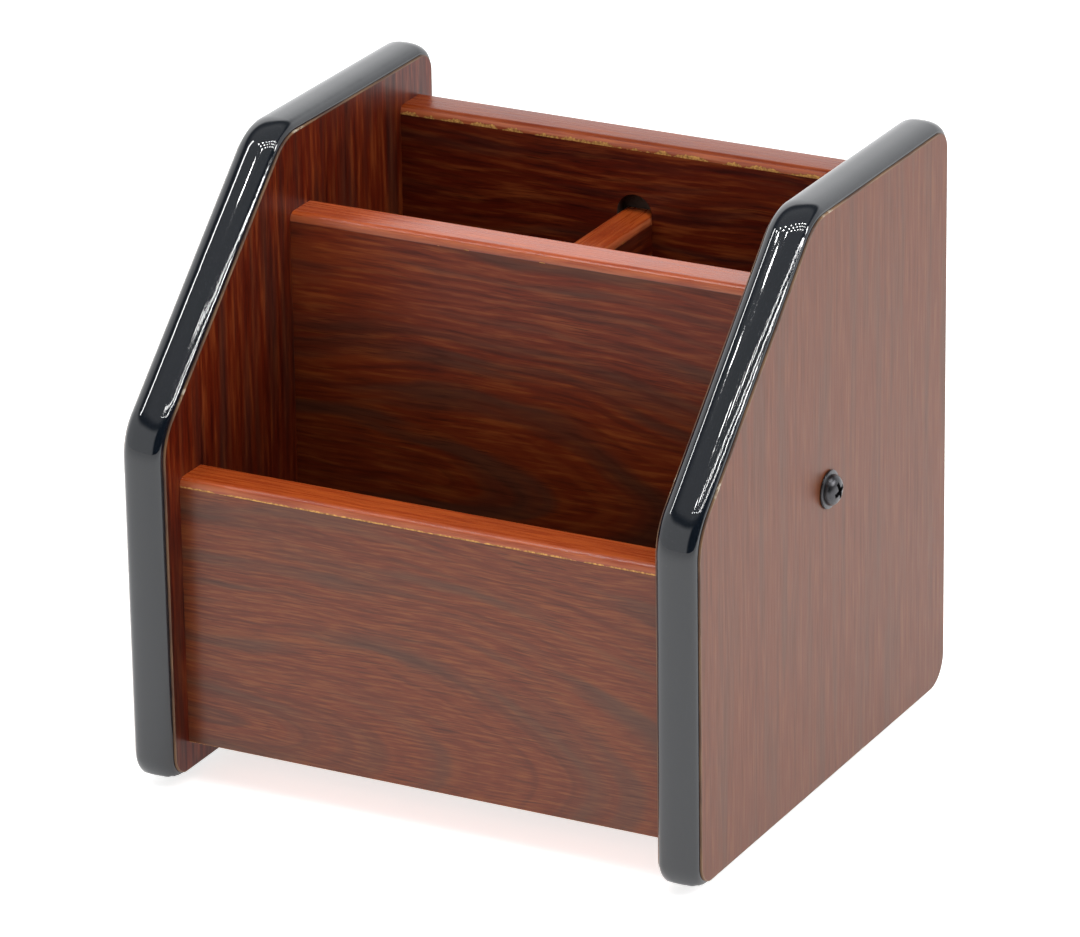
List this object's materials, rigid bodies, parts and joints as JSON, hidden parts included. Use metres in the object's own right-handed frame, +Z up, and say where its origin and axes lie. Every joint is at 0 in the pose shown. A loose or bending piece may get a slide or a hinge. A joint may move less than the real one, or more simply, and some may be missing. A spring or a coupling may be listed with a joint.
{
  "type": "rotating desk organizer",
  "caption": "Laminated desk organizer with stepped open compartments between lacquered side boards, turning on a low ball-bearing foot.",
  "frame": {"origin": "on the table plane under the feet, at the middle of the footprint, which is also on the turntable's axis", "axes": "+X across the organizer to its right side seen from the front, +Y from the front board to the back board, +Z up along the turntable's axis"},
  "size_m": [0.125, 0.11, 0.118],
  "materials": {
    "rosewood_laminate": "satin wood-pattern melamine",
    "edge_painted_board": "board core with satin orange-brown painted edges",
    "black_lacquered_board": "board core with high-gloss black lacquered edge",
    "beech_dowel": "raw fluted wood",
    "black_oxide_steel": "black oxide, semi-gloss",
    "zinc_plate": "bright zinc plated",
    "zinc_screw": "bright zinc plated",
    "ball_steel": "polished",
    "cage_nylon": "natural nylon",
    "foot_abs": "black moulded, fine texture",
    "foot_rubber": "matte"
  },
  "bodies": {
    "foot": {"swivel_base_plate": "zinc_plate", "pivot_rivet": "zinc_plate", "base_plate_screws": "zinc_screw", "foot_disc": "foot_abs", "foot_pads": "foot_rubber"},
    "ball_cage": {"ball_cage": "cage_nylon", "bearing_balls": "ball_steel"},
    "caddy": {"left_side_board": "black_lacquered_board", "left_outer_laminate": "rosewood_laminate", "left_inner_laminate": "rosewood_laminate", "right_side_board": "black_lacquered_board", "right_outer_laminate": "rosewood_laminate", "right_inner_laminate": "rosewood_laminate", "front_board": "edge_painted_board", "front_board_outer_laminate": "rosewood_laminate", "front_board_inner_laminate": "rosewood_laminate", "middle_board": "edge_painted_board", "middle_board_front_laminate": "rosewood_laminate", "middle_board_rear_laminate": "rosewood_laminate", "back_board": "edge_painted_board", "back_board_front_laminate": "rosewood_laminate", "back_board_rear_laminate": "rosewood_laminate", "divider": "edge_painted_board", "divider_left_laminate": "rosewood_laminate", "divider_right_laminate": "rosewood_laminate", "floor_board": "edge_painted_board", "floor_top_laminate": "rosewood_laminate", "floor_bottom_laminate": "rosewood_laminate", "left_side_screw": "black_oxide_steel", "right_side_screw": "black_oxide_steel", "front_dowels": "beech_dowel", "middle_dowels": "beech_dowel", "back_dowels": "beech_dowel", "floor_dowels": "beech_dowel", "swivel_top_plate": "zinc_plate", "top_plate_screws": "zinc_screw"}
  },
  "joints": [
    {"name": "caddy_spin", "type": "hinge", "parent": "foot", "child": "caddy", "pos_m": [0, 0, 0.0122], "axis": [0, 0, 1], "continuous": true},
    {"name": "cage_spin", "type": "hinge", "parent": "foot", "child": "ball_cage", "pos_m": [0, 0, 0.00885], "axis": [0, 0, 1], "continuous": true}
  ],
  "couplings": [
    {"joint": "cage_spin", "follows": "caddy_spin", "ratio": 0.5}
  ]
}
